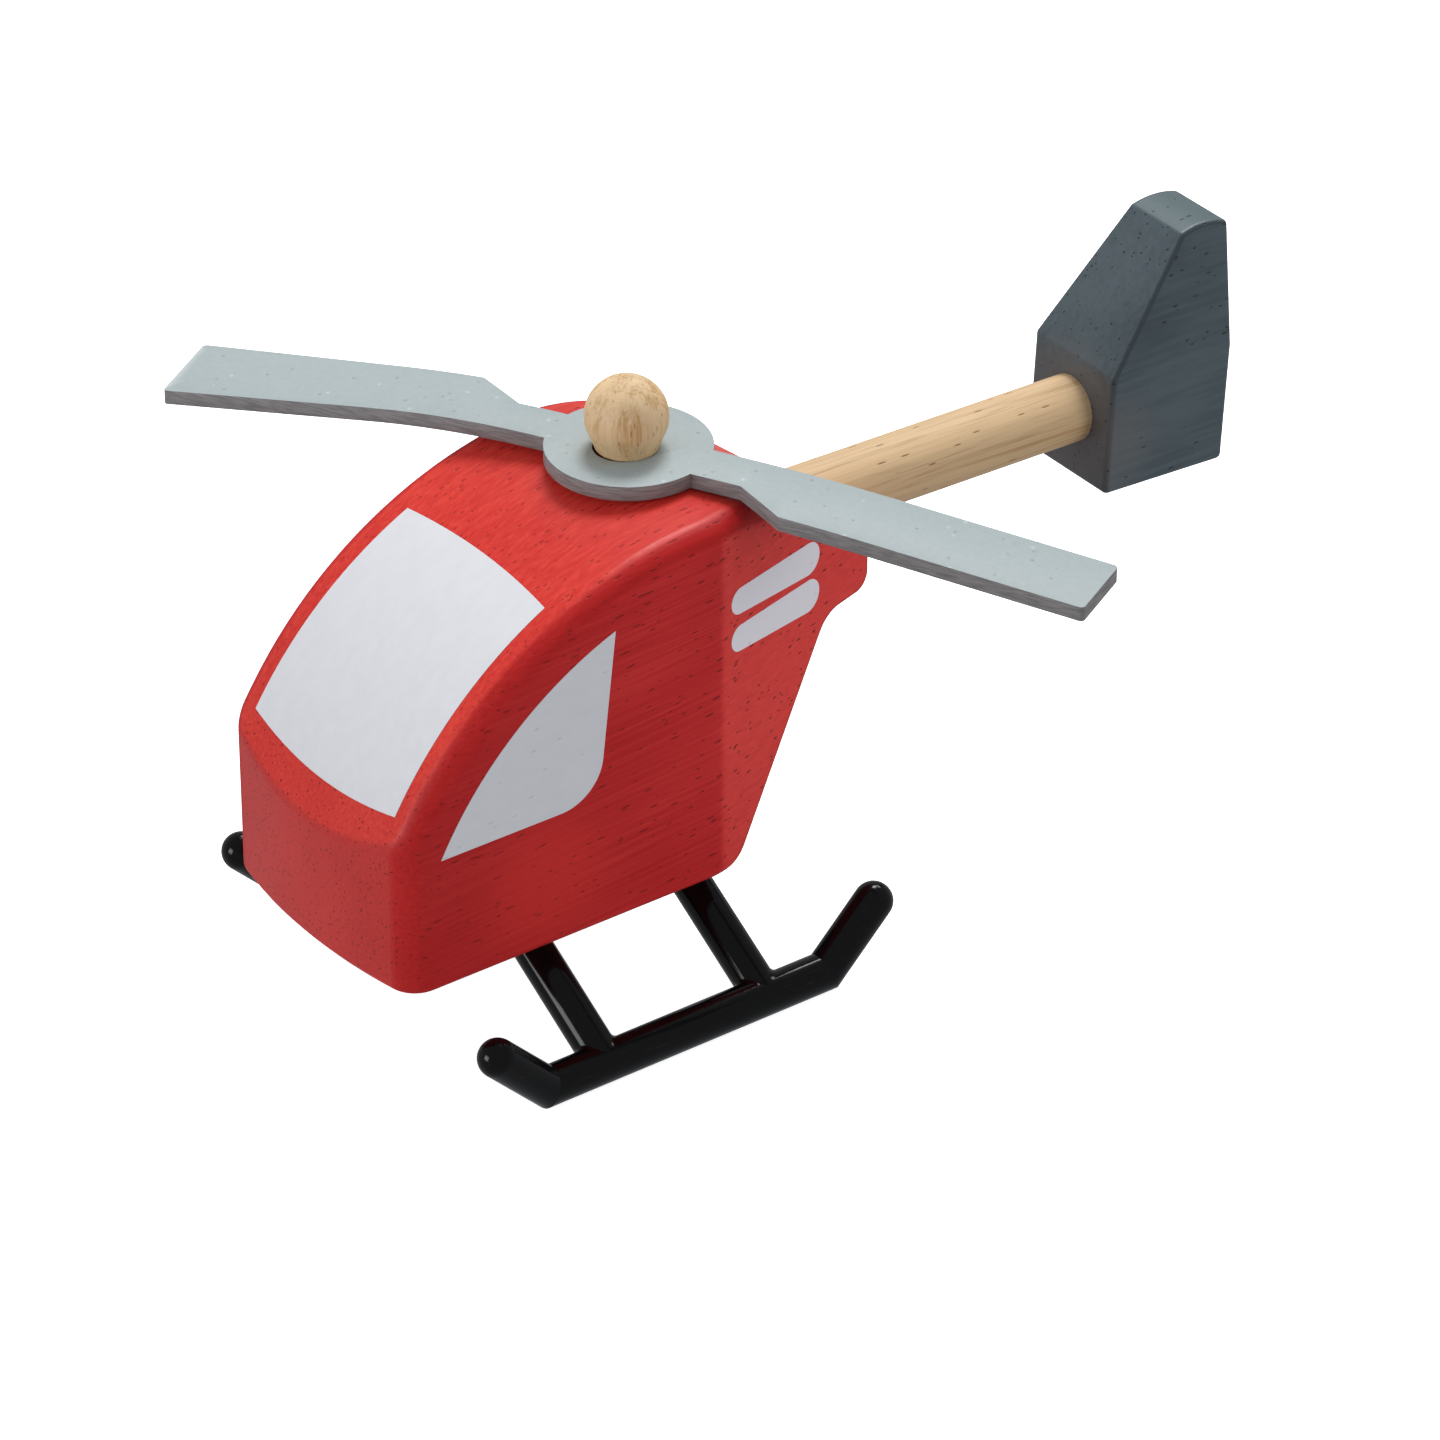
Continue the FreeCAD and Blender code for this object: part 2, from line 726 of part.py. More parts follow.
def roof_skin(name):
    """A thin ring on the roof arc, wide enough for the windscreen."""
    walls = []
    for layer, radius in (("outer", "{roof_radius} + {film_proud}"),
                          ("inner", "{roof_radius} + {film_proud} - {film}")):
        wall = sized_cylinder(f"{name}_{layer}", radius, "{cabin_width}")
        centre = roof_centre()
        base = V(-dim("cabin_width") / 2, centre.x, centre.y)
        wall.Placement = FreeCAD.Placement(base, FreeCAD.Rotation(Y_AXIS, 90))
        walls.append(wall)
    return cut(name, walls[0], walls[1])


def windscreen():
    prism = new_body("windscreen_prism")
    outline = new_sketch(prism, "windscreen_outline", "XY_Plane")
    outline.addGeometry(windscreen_edges(), False)
    pad = prism.newObject("PartDesign::Pad", "windscreen_pad")
    pad.Profile = outline
    bind(pad, "Length", "{roof_top_z} + {spare}")
    return common("windscreen_print", [roof_skin("windscreen_skin"), prism])


def side_window_edges():
    """Side window in (y, z): sill, rounded rear corner, leaning post and the arc over it."""
    mast = dim("mast_y")
    centre = roof_centre()
    radius = dim("roof_radius") - dim("window_inset")
    sill = dim("window_sill_z")

    def on_arc(forward):
        y = mast - forward
        return flat(y, centre.y + math.sqrt(radius ** 2 - (y - centre.x) ** 2))

    front_y = centre.x - math.sqrt(radius ** 2 - (sill - centre.y) ** 2)
    front = flat(front_y, sill)
    head = on_arc(dim("window_head_forward"))
    crown = on_arc((dim("window_head_forward") + mast - front_y) / 2)
    post_foot = flat(mast - dim("window_post_forward"), sill)
    corner = corner_arc(front, post_foot, head, dim("window_corner_radius"))
    return [
        Part.LineSegment(front, corner[0]),
        Part.Arc(*corner),
        Part.LineSegment(corner[2], head),
        Part.Arc(head, crown, front),
    ]


def side_frame(side, at):
    """Placement on a side of the cabin whose local X runs aft, local Y up and local Z outwards."""
    upright = FreeCAD.Rotation(V(0, 1, 0), V(0, 0, 1), V(1, 0, 0), "XYZ")
    if side > 0:
        return FreeCAD.Placement(at, upright)
    return FreeCAD.Placement(V(-at.x, at.y, at.z), FreeCAD.Rotation(Z_AXIS, 180) * upright)


def mirrored(edges):
    """The same outline seen from the other side: local X turned round."""
    flip = FreeCAD.Matrix()
    flip.A11 = -1
    for edge in edges:
        edge.transform(flip)
    return edges


def side_window(label, side):
    edges = side_window_edges()
    if side < 0:
        edges = mirrored(edges)
    body = film_body(label, f"{label}_outline", edges)
    body.Placement = side_frame(side, V(dim("cabin_width") / 2 - film_depth(), 0, 0))
    return body


def vent_edges():
    """A bar with round ends, a little deeper at the rear, in (aft, up) about its front middle."""
    front = dim("vent_front_height") / 2
    rear = dim("vent_rear_height") / 2
    span = dim("vent_length") - front - rear
    lean = math.asin((rear - front) / span)
    upper = flat(-math.sin(lean), math.cos(lean))
    lower = flat(upper.x, -upper.y)
    nose = flat(front, 0)
    tail = flat(front + span, 0)
    return [
        Part.Arc(nose + upper * front, nose - flat(front, 0), nose + lower * front),
        Part.LineSegment(nose + lower * front, tail + lower * rear),
        Part.Arc(tail + lower * rear, tail + flat(rear, 0), tail + upper * rear),
        Part.LineSegment(tail + upper * rear, nose + upper * front),
    ]


def vent(label, side, level_cell):
    """One vent stripe on the tapering part of a side."""
    edges = vent_edges()
    if side < 0:
        edges = mirrored(edges)
    body = film_body(label, f"{label}_outline", edges)
    taper = dim("side_taper_angle")
    aft = dim("vent_front_aft")
    x = dim("cabin_width") / 2 - aft * math.tan(math.radians(taper))
    place = side_frame(side, V(x, dim("mast_y") + aft, dim(level_cell)))
    lean = FreeCAD.Rotation(Z_AXIS, side * taper) * place.Rotation
    inward = lean.multVec(Z_AXIS) * -film_depth()
    fall = FreeCAD.Rotation(Z_AXIS, -side * dim("vent_fall_angle"))
    body.Placement = FreeCAD.Placement(place.Base + inward, lean * fall)
    return body


def paint_films():
    films = [windscreen()]
    for name, side in (("left", 1), ("right", -1)):
        films.append(side_window(f"{name}_window_print", side))
        films.append(vent(f"{name}_upper_vent_print", side, "upper_vent_z"))
        films.append(vent(f"{name}_lower_vent_print", side, "lower_vent_z"))
    return films


# ---------------------------------------------------------------- assembly

def check(nodes):
    for item in doc.Objects:
        if any(word in item.State for word in ("Invalid", "Error")):
            raise RuntimeError(f"{item.Name}: {item.State}")
    for node in nodes:
        if node.Shape.isNull() or not node.Shape.isValid() or len(node.Shape.Solids) != 1:
            raise RuntimeError(f"{node.Label}: not one valid solid")


FILMS = paint_films()
NODES = [cabin(FILMS), boom_cylinder("tail_boom"), tail_fin(), rotor(), rotor_peg()]
NODES += landing_gear() + FILMS
doc.recompute()
check(NODES)
os.makedirs("parts", exist_ok=True)
for node in NODES:
    node.Shape.exportStep(f"parts/{node.Label}.step")
    print(f"{node.Label:24s} {node.Shape.Volume:10.1f} mm3")
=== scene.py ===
"""Looks of the toy helicopter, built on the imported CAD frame. Metres, Z up, nose towards -Y."""
import math

import bmesh
import bpy
from mathutils import Matrix, Vector


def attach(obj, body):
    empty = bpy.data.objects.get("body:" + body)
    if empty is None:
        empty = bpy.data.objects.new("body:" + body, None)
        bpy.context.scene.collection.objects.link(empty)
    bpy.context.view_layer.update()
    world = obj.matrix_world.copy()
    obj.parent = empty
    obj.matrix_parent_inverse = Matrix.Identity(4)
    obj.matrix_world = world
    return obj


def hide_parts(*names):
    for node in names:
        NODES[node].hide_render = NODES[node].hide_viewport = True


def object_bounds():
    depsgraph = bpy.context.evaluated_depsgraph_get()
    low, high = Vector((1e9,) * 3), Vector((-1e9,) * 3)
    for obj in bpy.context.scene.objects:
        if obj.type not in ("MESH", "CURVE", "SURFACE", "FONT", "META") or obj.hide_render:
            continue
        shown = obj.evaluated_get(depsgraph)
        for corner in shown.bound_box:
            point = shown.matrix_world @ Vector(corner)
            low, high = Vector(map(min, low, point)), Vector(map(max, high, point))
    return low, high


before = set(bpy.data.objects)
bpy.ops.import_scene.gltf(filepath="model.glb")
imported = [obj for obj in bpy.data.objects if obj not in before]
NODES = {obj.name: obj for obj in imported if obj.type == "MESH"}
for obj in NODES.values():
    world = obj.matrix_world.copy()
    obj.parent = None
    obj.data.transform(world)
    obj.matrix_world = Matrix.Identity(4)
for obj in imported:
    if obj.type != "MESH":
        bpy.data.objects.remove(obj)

cad_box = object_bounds()
MM = 0.001

# The camera looks at the toy from its front left; angles in degrees, distances in metres.
CAMERA_AZIMUTH = 53.7
CAMERA_ELEVATION = 32.25
CAMERA_DISTANCE = 1.2116
CAMERA_AIM = Vector((0.0151, -0.0208, 0.0432))
CAMERA_LENS = 182.5
SENSOR_WIDTH = 36.0

# The landing gear as the CAD has it, for the beads at its joints.
RAIL_X = 37.9 * MM
ROD_RADIUS = 3.4 * MM
STRUT_ANGLE = math.radians(30)
FRONT_STRUT_Y = -61.0 * MM
REAR_STRUT_Y = -28.5 * MM
BEAD_REACH = 6.5 * MM
STRUT_SHARE = 1.3
BEAD_VOXEL = 0.3 * MM
BEAD_FACTOR = 0.5
BEAD_SMOOTHING = 14

# The rotor's broken edge, and what counts as one point, one plane and one sharp edge there.
ARRIS = 0.22 * MM
WELD = 0.001 * MM
FLAT_ANGLE = math.radians(0.2)
SHARP_ANGLE = math.radians(40)

# Turn of the grain about X in each wooden piece, in degrees.
CABIN_GRAIN = -4.0
FIN_GRAIN = 1.5
BOOM_GRAIN = 1.55

# The stage. Each softbox has a name, a place and a size in metres, a power in watts,
# and whether glossy surfaces mirror it.
FLOOR_REACH = 6.0
FLOOR_GLOW = 0.85
ROOM_COLOUR = (0.93, 0.96, 1.0, 1)
ROOM_STRENGTH = 0.44
SOFTBOXES = (
    ("top_softbox", (-0.55, 0.50, 1.35), (0.5, 0.5), 13.8, True),
    ("back_softbox", (-0.5, 1.1, 1.3), (0.6, 0.4), 5.0, True),
    ("left_softbox", (1.5, 0.75, 0.35), (0.8, 0.6), 7.0, False),
    ("nose_softbox", (-0.3, -1.6, 0.42), (0.7, 0.6), 11.3, True),
)


# ---------------------------------------------------------------- node graphs

class Graph:
    """A material's node tree, with a short call for each kind of node used here."""

    def __init__(self, name):
        self.material = bpy.data.materials.new(name)
        self.material.use_nodes = True
        self.nodes = self.material.node_tree.nodes
        self.links = self.material.node_tree.links
        self.shader = self.nodes["Principled BSDF"]
        coordinates = self.nodes.new("ShaderNodeTexCoord")
        self.place = coordinates.outputs["Object"]
        self.facing = coordinates.outputs["Normal"]

    def put(self, socket, value):
        if isinstance(value, bpy.types.NodeSocket):
            self.links.new(value, socket)
        else:
            socket.default_value = value

    def stretched(self, scale, tilt=0.0, shift=(0, 0, 0)):
        """Object coordinates turned by tilt about X, then scaled; scale is features per metre."""
        turn = self.nodes.new("ShaderNodeMapping")
        turn.inputs["Rotation"].default_value = (math.radians(tilt), 0, 0)
        self.put(turn.inputs["Vector"], self.place)
        size = self.nodes.new("ShaderNodeMapping")
        size.inputs["Scale"].default_value = scale
        size.inputs["Location"].default_value = shift
        self.put(size.inputs["Vector"], turn.outputs["Vector"])
        return size.outputs["Vector"]

    def noise(self, vector, detail=3.0, rough=0.5, distortion=0.0):
        node = self.nodes.new("ShaderNodeTexNoise")
        node.inputs["Scale"].default_value = 1.0
        node.inputs["Detail"].default_value = detail
        node.inputs["Roughness"].default_value = rough
        node.inputs["Distortion"].default_value = distortion
        self.put(node.inputs["Vector"], vector)
        return node.outputs["Fac"]

    def cells(self, vector):
        """Distance to the nearest cell point, and a number of its own for each cell."""
        node = self.nodes.new("ShaderNodeTexVoronoi")
        node.inputs["Scale"].default_value = 1.0
        self.put(node.inputs["Vector"], vector)
        split = self.nodes.new("ShaderNodeSeparateColor")
        self.put(split.inputs["Color"], node.outputs["Color"])
        return node.outputs["Distance"], split.outputs["Red"]

    def between(self, value, low, high, low_out=0.0, high_out=1.0):
        """value mapped from low..high to low_out..high_out, clamped."""
        node = self.nodes.new("ShaderNodeMapRange")
        node.interpolation_type = "SMOOTHSTEP"
        self.put(node.inputs["Value"], value)
        for name, number in (("From Min", low), ("From Max", high),
                             ("To Min", low_out), ("To Max", high_out)):
            node.inputs[name].default_value = number
        return node.outputs["Result"]

    def math(self, operation, first, second):
        node = self.nodes.new("ShaderNodeMath")
        node.operation = operation
        self.put(node.inputs[0], first)
        self.put(node.inputs[1], second)
        return node.outputs["Value"]

    def ramp(self, value, stops):
        node = self.nodes.new("ShaderNodeValToRGB")
        ramp = node.color_ramp
        while len(ramp.elements) < len(stops):
            ramp.elements.new(1.0)
        for element, (position, colour) in zip(ramp.elements, stops):
            element.position = position
            element.color = (*colour, 1)
        self.put(node.inputs["Fac"], value)
        return node.outputs["Color"]

    def mix(self, share, first, second):
        node = self.nodes.new("ShaderNodeMix")
        node.data_type = "RGBA"
        colours = [s for s in node.inputs if s.type == "RGBA"]
        self.put(node.inputs[0], share)
        for socket, value in zip(colours, (first, second)):
            self.put(socket, value if isinstance(value, bpy.types.NodeSocket) else (*value, 1))
        return next(s for s in node.outputs if s.type == "RGBA")

    def axis_of(self, vector, axis):
        node = self.nodes.new("ShaderNodeSeparateXYZ")
        self.put(node.inputs["Vector"], vector)
        return node.outputs[axis]

    def faces(self, axis, low, high, low_out=0.0, high_out=1.0):
        """How far the surface faces along an axis, either way, mapped as between() does."""
        size = self.math("ABSOLUTE", self.axis_of(self.facing, axis), 0.0)
        return self.between(size, low, high, low_out, high_out)

    def near(self, point, inner, outer):
        """1 within inner metres of a point of the part, falling to 0 at outer."""
        node = self.nodes.new("ShaderNodeVectorMath")
        node.operation = "DISTANCE"
        self.put(node.inputs[0], self.place)
        node.inputs[1].default_value = point
        return self.between(node.outputs["Value"], inner, outer, 1.0, 0.0)

    def bump(self, height, depth):
        """Surface relief; depth is the height's full range in metres."""
        node = self.nodes.new("ShaderNodeBump")
        node.inputs["Strength"].default_value = 1.0
        node.inputs["Distance"].default_value = depth
        self.put(node.inputs["Height"], height)
        return node.outputs["Normal"]

    def finish(self, colour, roughness, normal=None, specular=0.5):
        self.put(self.shader.inputs["Base Color"], colour)
        self.put(self.shader.inputs["Roughness"], roughness)
        self.shader.inputs["Specular IOR Level"].default_value = specular
        if normal is not None:
            self.put(self.shader.inputs["Normal"], normal)
        return self.material


# ---------------------------------------------------------------- materials

def pores(graph, width, length, tilt, presence, shift=(0, 0, 0)):
    """Short dark vessels along the grain: 1 inside a pore. They show as dots on end grain."""
    across = 1 / width
    distance, own = graph.cells(graph.stretched((across, 1 / length, across), tilt, shift))
    inside = graph.between(distance, 0.13, 0.22, 1.0, 0.0)
    chosen = graph.between(own, 1 - presence, 1 - presence + 0.01)
    return graph.math("MULTIPLY", inside, chosen)


def red_wood():
    """Hardwood under a translucent red stain: fine grain and open pores. The rounded rims take a darker
    red as painted shade, the tapered rear facets a lighter red as painted light, and the roof a lighter,
    more orange red that is partly the stain's own tone and partly painted light.
    """
    graph = Graph("red_stained_wood")
    streak = graph.noise(graph.stretched((1500, 34, 1500), CABIN_GRAIN), 3.0, 0.6)
    cloud = graph.noise(graph.stretched((48, 16, 48), CABIN_GRAIN), 2.0, 0.5)
    grain = graph.math("ADD", graph.math("MULTIPLY", streak, 0.6), graph.math("MULTIPLY", cloud, 0.4))
    side = graph.ramp(grain, [(0.36, (0.50, 0.012, 0.013)), (0.50, (0.59, 0.021, 0.022)),
                              (0.62, (0.66, 0.032, 0.029))])
    # The rim colour is a darker red for the rounded rims between roof and sides: painted shade.
    rim_shade = graph.ramp(grain, [(0.38, (0.44, 0.010, 0.010)), (0.60, (0.53, 0.017, 0.016))])
    # The roof colour is lighter and more orange than the sides: partly the stain's own tone, partly
    # painted light.
    roof = graph.ramp(grain, [(0.36, (0.57, 0.026, 0.020)), (0.50, (0.65, 0.040, 0.030)),
                              (0.62, (0.72, 0.056, 0.038))])
    end = graph.ramp(grain, [(0.36, (0.46, 0.027, 0.024)), (0.62, (0.56, 0.040, 0.034))])
    # The taper colour is a lighter red for the tapered rear facets: painted light.
    taper_light = graph.ramp(grain, [(0.36, (0.72, 0.042, 0.036)), (0.62, (0.85, 0.062, 0.050))])
    forward = graph.between(graph.axis_of(graph.place, "Y"), -0.080, -0.035, 0.5, 0.0)
    side = graph.mix(forward, side, (0.40, 0.008, 0.009))
    thin = graph.near((0.026, -0.064, 0.034), 0.003, 0.018)
    side = graph.mix(graph.math("MULTIPLY", thin, 0.45), side, (0.74, 0.036, 0.024))
    # Rear-facing tapered facets take the lighter taper colour: painted light.
    side = graph.mix(graph.between(graph.axis_of(graph.facing, "Y"), 0.12, 0.27), side, taper_light)
    # Faces between the sides and the roof, the rounded rims, take the darker rim colour: painted shade.
    rounded = graph.mix(graph.faces("X", 0.88, 0.985), rim_shade, side)
    level = graph.mix(graph.faces("Z", 0.20, 0.45), end, roof)
    colour = graph.mix(graph.faces("X", 0.12, 0.42), level, rounded)
    dashes = pores(graph, 1.0 * MM, 5.4 * MM, CABIN_GRAIN, 0.42)
    short = pores(graph, 0.8 * MM, 2.8 * MM, CABIN_GRAIN, 0.34, (3.1, 1.7, 5.3))
    marks = graph.math("MAXIMUM", dashes, short)
    depth = graph.between(graph.axis_of(graph.place, "Y"), -0.075, -0.010, 0.45, 0.85)
    depth = graph.math("MULTIPLY", depth, graph.faces("Z", 0.3, 0.7, 1.0, 0.7))
    depth = graph.math("MAXIMUM", depth, graph.faces("Y", 0.6, 0.9, 0.0, 0.75))
    colour = graph.mix(graph.math("MULTIPLY", marks, depth), colour, (0.13, 0.004, 0.005))
    relief = graph.math("SUBTRACT", graph.math("MULTIPLY", streak, 0.35), marks)
    normal = graph.bump(relief, 0.07 * MM)
    roughness = graph.faces("X", 0.10, 0.30, 0.34, 0.50)
    return graph.finish(colour, roughness, normal, specular=0.2)


def bare_wood(name, light, dark, mark, tilt=0.0, along=(1, 0.03, 1)):
    """Pale unpainted hardwood, darker on faces that point down as painted shade; along gives the grain
    direction by its smallest number.
    """
    graph = Graph(name)
    broad = graph.noise(graph.stretched(tuple(420 * a for a in along), tilt), 3.0, 0.6, 0.3)
    fibre = graph.noise(graph.stretched(tuple(2300 * a for a in along), tilt), 2.0, 0.6)
    grain = graph.math("ADD", graph.math("MULTIPLY", broad, 0.6), graph.math("MULTIPLY", fibre, 0.4))
    colour = graph.ramp(grain, [(0.36, dark), (0.50, light), (0.62, tuple(1.10 * c for c in light))])
    # Faces that point down are darkened towards the dark grain colour: painted shade.
    low = graph.between(graph.axis_of(graph.facing, "Z"), -0.6, 0.6, 0.35, 0.0)
    colour = graph.mix(low, colour, tuple(0.9 * c for c in dark))
    distance, own = graph.cells(graph.stretched(tuple(1250 * a ** 0.52 for a in along), tilt))
    dash = graph.math("MULTIPLY", graph.between(distance, 0.14, 0.24, 1.0, 0.0),
                      graph.between(own, 0.62, 0.63))
    colour = graph.mix(graph.math("MULTIPLY", dash, 0.8), colour, mark)
    relief = graph.math("SUBTRACT", graph.math("MULTIPLY", fibre, 0.5), dash)
    return graph.finish(colour, graph.between(grain, 0.3, 0.7, 0.62, 0.5), graph.bump(relief, 0.03 * MM),
                        specular=0.3)


def slate_paint():
    """Blue-grey paint on wood: pinholes, a paler patch low in front round the boom's entry, a lighter
    top as painted light, and darker rounded edges as painted shade.
    """
    graph = Graph("slate_painted_wood")
    streak = graph.noise(graph.stretched((900, 60, 900), FIN_GRAIN), 3.0, 0.6)
    cloud = graph.noise(graph.stretched((70, 45, 70)), 2.0, 0.5)
    tone = graph.math("ADD", graph.math("MULTIPLY", streak, 0.5), graph.math("MULTIPLY", cloud, 0.5))
    colour = graph.ramp(tone, [(0.36, (0.054, 0.074, 0.085)), (0.50, (0.070, 0.095, 0.108)),
                               (0.64, (0.084, 0.112, 0.126))])
    # Upward faces take a lighter blue-grey: painted light.
    colour = graph.mix(graph.faces("Z", 0.6, 0.97), colour, (0.082, 0.118, 0.128))
    # The rounded edges between the sides and the front take a darker blue-grey: painted shade.
    edges = graph.math("MULTIPLY", graph.faces("X", 0.25, 0.5), graph.faces("X", 0.85, 0.96, 1.0, 0.0))
    colour = graph.mix(graph.math("MULTIPLY", edges, 0.7), colour, (0.030, 0.040, 0.046))
    # A paler, browner patch low on the front, round the boom's entry.
    boom_entry_patch = graph.near((0.0, 0.0640, 0.0640), 0.008, 0.018)
    colour = graph.mix(graph.math("MULTIPLY", boom_entry_patch, 0.6), colour, (0.150, 0.132, 0.128))
    holes = graph.math("MAXIMUM", pores(graph, 1.2 * MM, 3.6 * MM, FIN_GRAIN, 0.34),
                       pores(graph, 0.9 * MM, 2.0 * MM, FIN_GRAIN, 0.24, (2.3, 4.1, 1.9)))
    colour = graph.mix(graph.math("MULTIPLY", holes, 0.8), colour, (0.014, 0.018, 0.022))
    relief = graph.math("SUBTRACT", graph.math("MULTIPLY", streak, 0.3), holes)
    return graph.finish(colour, graph.between(tone, 0.3, 0.7, 0.44, 0.36), graph.bump(relief, 0.06 * MM),
                        specular=0.35)


def print_film():
    """Flat pale grey ink, lighter on the rear-facing taper as painted light; on the upright faces a few
    pores of the wood below show through.
    """
    graph = Graph("pale_grey_print")
    mottle = graph.noise(graph.stretched((500, 160, 500), CABIN_GRAIN), 2.0, 0.5)
    colour = graph.ramp(mottle, [(0.35, (0.690, 0.695, 0.722)), (0.65, (0.712, 0.716, 0.742))])
    # Prints facing the rear along the taper take a lighter grey: painted light.
    aft_light = graph.between(graph.axis_of(graph.facing, "Y"), 0.12, 0.27)
    colour = graph.mix(aft_light, colour, (0.83, 0.79, 0.84))
    upright = graph.faces("Z", 0.2, 0.5, 1.0, 0.0)
    specks = pores(graph, 1.0 * MM, 3.4 * MM, CABIN_GRAIN, 0.28)
    shade = graph.math("MULTIPLY", graph.math("MULTIPLY", specks, upright), 0.4)
    colour = graph.mix(shade, colour, (0.42, 0.36, 0.40))
    return graph.finish(colour, 0.45, specular=0.25)


def rotor_sheet():
    """Cool grey soft sheet, nearly even, with tiny pits; its cut edge is scored and darker as painted
    shade, with a pale painted highlight along the broken arris.
    """
    graph = Graph("grey_sheet")
    mottle = graph.noise(graph.stretched((900, 900, 900)), 2.0, 0.5)
    colour = graph.ramp(mottle, [(0.35, (0.372, 0.424, 0.428)), (0.65, (0.390, 0.443, 0.447))])
    pits = pores(graph, 1.9 * MM, 1.9 * MM, 0.0, 0.20)
    flecks = pores(graph, 2.3 * MM, 2.3 * MM, 0.0, 0.16, (1.3, 2.7, 3.9))
    colour = graph.mix(graph.math("MULTIPLY", pits, 0.45), colour, (0.20, 0.22, 0.23))
    colour = graph.mix(graph.math("MULTIPLY", flecks, 0.35), colour, (0.66, 0.70, 0.71))
    saw = graph.noise(graph.stretched((260, 260, 3000)), 2.0, 0.6)
    # The edge colour is a darker grey for the cut edge: painted shade.
    edge_shade = graph.ramp(saw, [(0.35, (0.160, 0.154, 0.154)), (0.62, (0.250, 0.236, 0.234))])
    colour = graph.mix(graph.faces("Z", 0.25, 0.6, 1.0, 0.0), colour, edge_shade)
    # A pale band on the arris faces at the top and bottom of the cut edge: a painted highlight.
    broken = graph.math("MULTIPLY", graph.faces("Z", 0.30, 0.45), graph.faces("Z", 0.88, 0.95, 1.0, 0.0))
    colour = graph.mix(broken, colour, (0.70, 0.72, 0.71))
    return graph.finish(colour, 0.55, graph.bump(pits, 0.012 * MM), specular=0.3)


def black_gloss():
    """Gloss black lacquer with a slight orange peel and hairline scuffs."""
    graph = Graph("black_gloss")
    peel = graph.noise(graph.stretched((350, 350, 350)), 2.0, 0.5)
    scuff = graph.noise(graph.stretched((3500, 160, 1200)), 3.0, 0.7)
    marks = graph.between(scuff, 0.60, 0.72)
    colour = graph.ramp(marks, [(0.0, (0.0025, 0.0025, 0.0028)), (1.0, (0.010, 0.009, 0.009))])
    return graph.finish(colour, graph.between(marks, 0.0, 1.0, 0.12, 0.32), graph.bump(peel, 0.02 * MM),
                        specular=0.18)


def paint(piece, material):
    """Gives a piece one material in all its slots."""
    piece.data.materials.clear()
    piece.data.materials.append(material)


# ---------------------------------------------------------------- pieces

def place_piece(name, mesh, body):
    piece = bpy.data.objects.new(name, mesh)
    bpy.context.scene.collection.objects.link(piece)
    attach(piece, body)
    return piece


def bevelled_rotor():
    """The rotor with its cut edges broken by a fine arris, standing for the CAD rotor."""
    mesh = NODES["rotor"].data.copy()
    work = bmesh.new()
    work.from_mesh(mesh)
    bmesh.ops.remove_doubles(work, verts=work.verts, dist=WELD)
    bmesh.ops.dissolve_limit(work, angle_limit=FLAT_ANGLE, verts=work.verts, edges=work.edges)
    for face in work.faces:
        face.smooth = True
    work.to_mesh(mesh)
    work.free()
    piece = place_piece("rotor_blades", mesh, "rotor")
    arris = piece.modifiers.new("arris", "BEVEL")
    arris.width = ARRIS
    arris.segments = 2
    arris.limit_method = "ANGLE"
    arris.angle_limit = SHARP_ANGLE
    arris.harden_normals = True
    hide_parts("rotor")
    return piece


def add_rod(work, start, end, radius):
    """A closed cylinder between two points."""
    span = end - start
    turn = span.to_track_quat("Z", "Y").to_matrix().to_4x4()
    bmesh.ops.create_cone(work, cap_ends=True, segments=48, radius1=radius, radius2=radius,
                          depth=span.length, matrix=Matrix.Translation((start + end) / 2) @ turn)


def joint_bead():
    """The rounded bead where a strut runs into a rail: stubs of both rods fused and smoothed."""
    work = bmesh.new()
    along = Vector((0, BEAD_REACH, 0))
    up = Vector((-math.cos(STRUT_ANGLE), 0, math.sin(STRUT_ANGLE)))
    add_rod(work, -along, along, ROD_RADIUS)
    add_rod(work, Vector(), up * BEAD_REACH * STRUT_SHARE, ROD_RADIUS)
    mesh = bpy.data.meshes.new("bead_blank")
    work.to_mesh(mesh)
    work.free()
    blank = bpy.data.objects.new("bead_blank", mesh)
    bpy.context.scene.collection.objects.link(blank)
    remesh = blank.modifiers.new("skin", "REMESH")
    remesh.mode = "VOXEL"
    remesh.voxel_size = BEAD_VOXEL
    smooth = blank.modifiers.new("round", "SMOOTH")
    smooth.factor = BEAD_FACTOR
    smooth.iterations = BEAD_SMOOTHING
    solved = blank.evaluated_get(bpy.context.evaluated_depsgraph_get())
    bead = bpy.data.meshes.new_from_object(solved)
    bpy.data.objects.remove(blank)
    bead.shade_smooth()
    return bead


def strut_beads():
    """One bead at each of the four joints between the cross tubes and the rails."""
    bead = joint_bead()
    beads = []
    for side_name, side in (("left", 1), ("right", -1)):
        for end_name, y in (("front", FRONT_STRUT_Y), ("rear", REAR_STRUT_Y)):
            mesh = bead.copy()
            turn = Matrix.Identity(4) if side > 0 else Matrix.Rotation(math.pi, 4, "Z")
            mesh.transform(Matrix.Translation((side * RAIL_X, y, ROD_RADIUS)) @ turn)
            beads.append(place_piece(f"{side_name}_{end_name}_bead", mesh, "airframe"))
    bpy.data.meshes.remove(bead)
    return beads


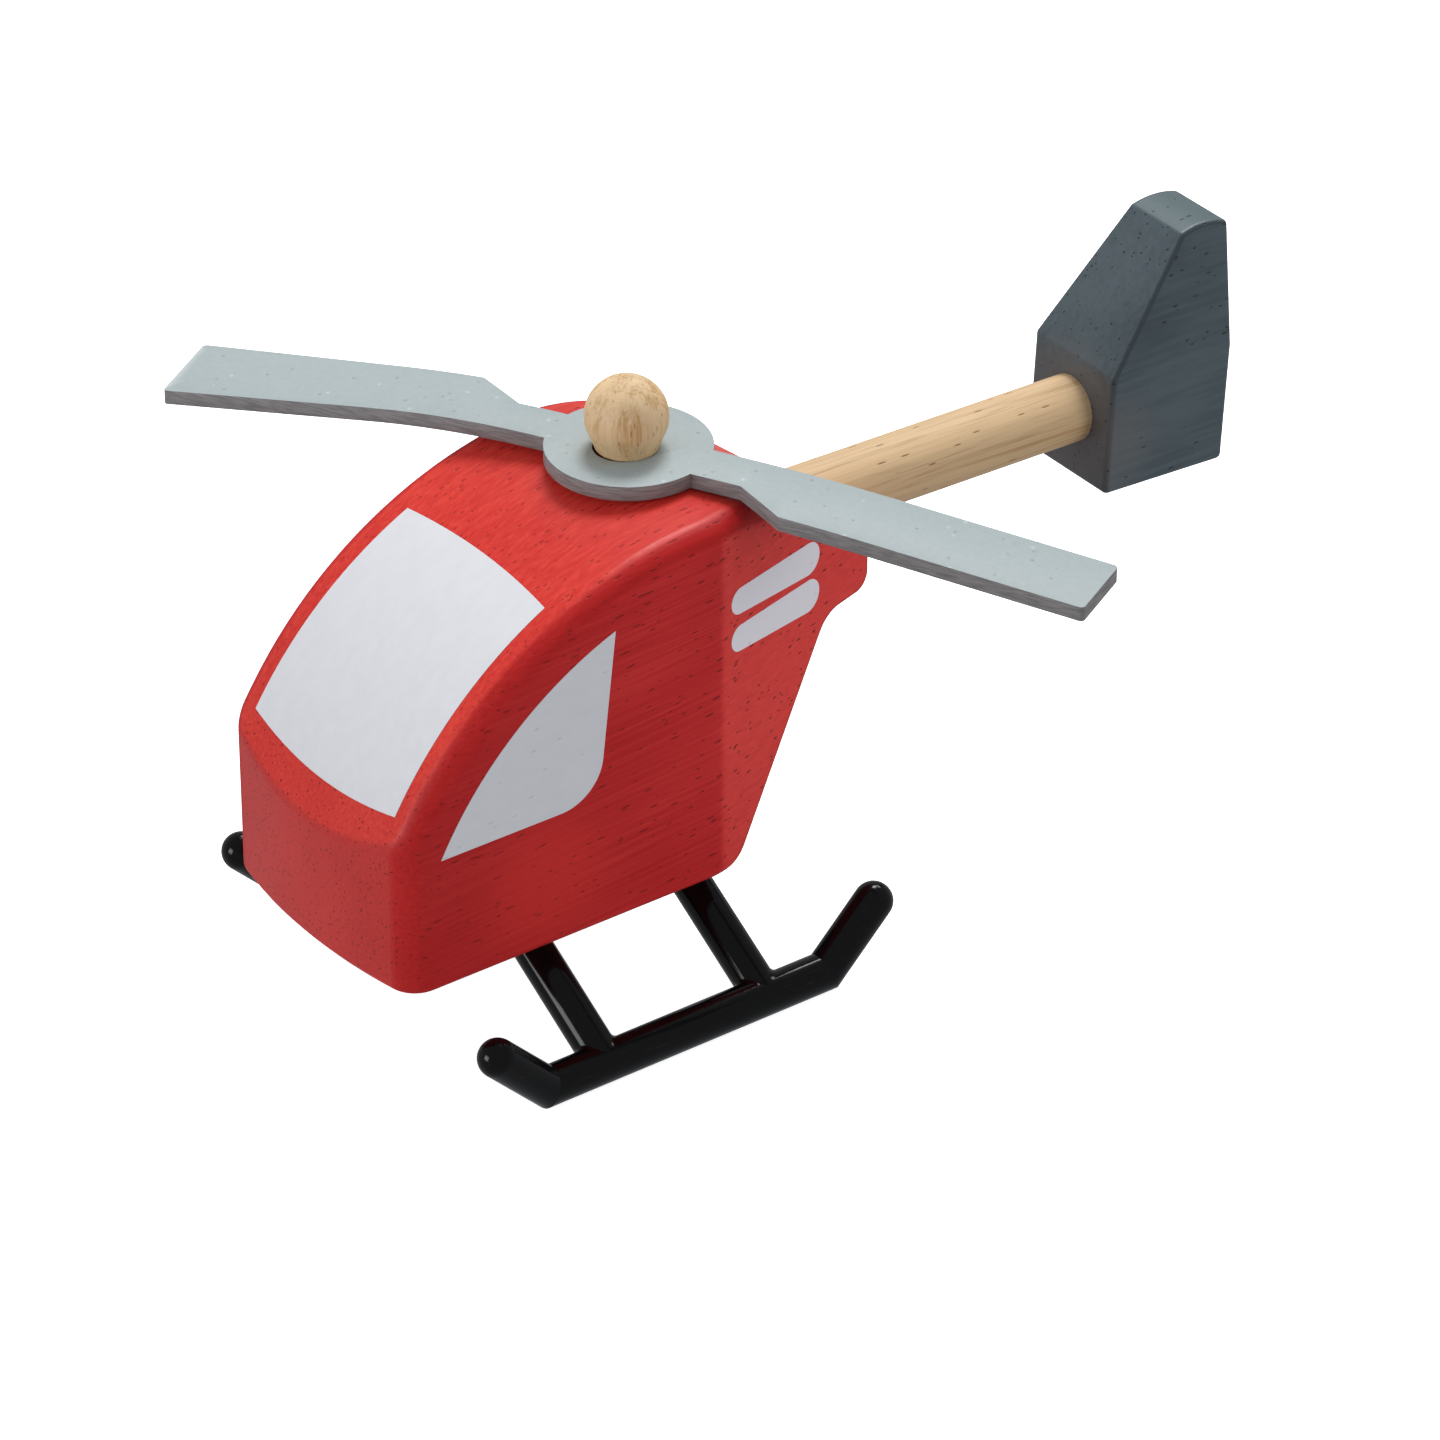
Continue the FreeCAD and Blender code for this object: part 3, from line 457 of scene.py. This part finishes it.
def paint_nodes():
    looks = {
        "cabin": red_wood(),
        "tail_boom": bare_wood("boom_wood", (0.66, 0.46, 0.26), (0.47, 0.28, 0.13), (0.22, 0.10, 0.04),
                               BOOM_GRAIN),
        "rotor_peg": bare_wood("ball_wood", (0.70, 0.50, 0.29), (0.52, 0.32, 0.14), (0.36, 0.18, 0.07),
                               0.0, (1, 1, 0.06)),
        "tail_fin": slate_paint(),
    }
    paint(bevelled_rotor(), rotor_sheet())
    gloss = black_gloss()
    for bead in strut_beads():
        paint(bead, gloss)
    film = print_film()
    for name in NODES:
        if "skid" in name or "tube" in name:
            looks[name] = gloss
        elif "print" in name:
            looks[name] = film
    for name, material in looks.items():
        paint(NODES[name], material)


# ---------------------------------------------------------------- stage

def area_light(name, place, aim, size, power, glossy):
    light = bpy.data.lights.new(name, "AREA")
    light.shape = "RECTANGLE"
    light.size, light.size_y = size
    light.energy = power
    lamp = bpy.data.objects.new(name, light)
    lamp.location = place
    lamp.rotation_euler = (Vector(aim) - Vector(place)).to_track_quat("-Z", "Y").to_euler()
    bpy.context.scene.collection.objects.link(lamp)
    lamp.visible_glossy = glossy


def studio():
    """White floor in a pale room, with softboxes above, behind, at the left and at the nose."""
    mesh = bpy.data.meshes.new("floor")
    corners = [(FLOOR_REACH * x, FLOOR_REACH * y, 0) for x, y in ((-1, -1), (1, -1), (1, 1), (-1, 1))]
    mesh.from_pydata(corners, [], [(0, 1, 2, 3)])
    floor = bpy.data.objects.new("floor", mesh)
    bpy.context.scene.collection.objects.link(floor)
    graph = Graph("floor_white")
    tone = graph.noise(graph.stretched((3, 3, 3)), 2.0, 0.5)
    white = graph.ramp(tone, [(0.3, (0.90, 0.90, 0.90)), (0.7, (0.92, 0.92, 0.92))])
    graph.shader.inputs["Emission Color"].default_value = (1, 1, 1, 1)
    graph.shader.inputs["Emission Strength"].default_value = FLOOR_GLOW
    mesh.materials.append(graph.finish(white, 0.9, specular=0.0))
    floor.visible_diffuse = False
    floor.visible_glossy = False
    world = bpy.data.worlds.new("room")
    bpy.context.scene.world = world
    world.use_nodes = True
    room = world.node_tree.nodes["Background"]
    room.inputs["Color"].default_value = ROOM_COLOUR
    room.inputs["Strength"].default_value = ROOM_STRENGTH
    centre = (cad_box[0] + cad_box[1]) / 2
    for name, place, size, power, glossy in SOFTBOXES:
        area_light(name, place, centre, size, power, glossy)


def camera():
    azimuth = math.radians(CAMERA_AZIMUTH)
    elevation = math.radians(CAMERA_ELEVATION)
    back = Vector((math.sin(azimuth) * math.cos(elevation), -math.cos(azimuth) * math.cos(elevation),
                   math.sin(elevation)))
    lens = bpy.data.cameras.new("camera")
    lens.lens = CAMERA_LENS
    lens.sensor_width = SENSOR_WIDTH
    lens.clip_start = 0.05
    lens.clip_end = 20
    eye = bpy.data.objects.new("camera", lens)
    eye.location = CAMERA_AIM + back * CAMERA_DISTANCE
    eye.rotation_euler = (-back).to_track_quat("-Z", "Y").to_euler()
    bpy.context.scene.collection.objects.link(eye)
    bpy.context.scene.camera = eye


camera()
studio()
paint_nodes()
bpy.context.scene.view_settings.view_transform = "Standard"
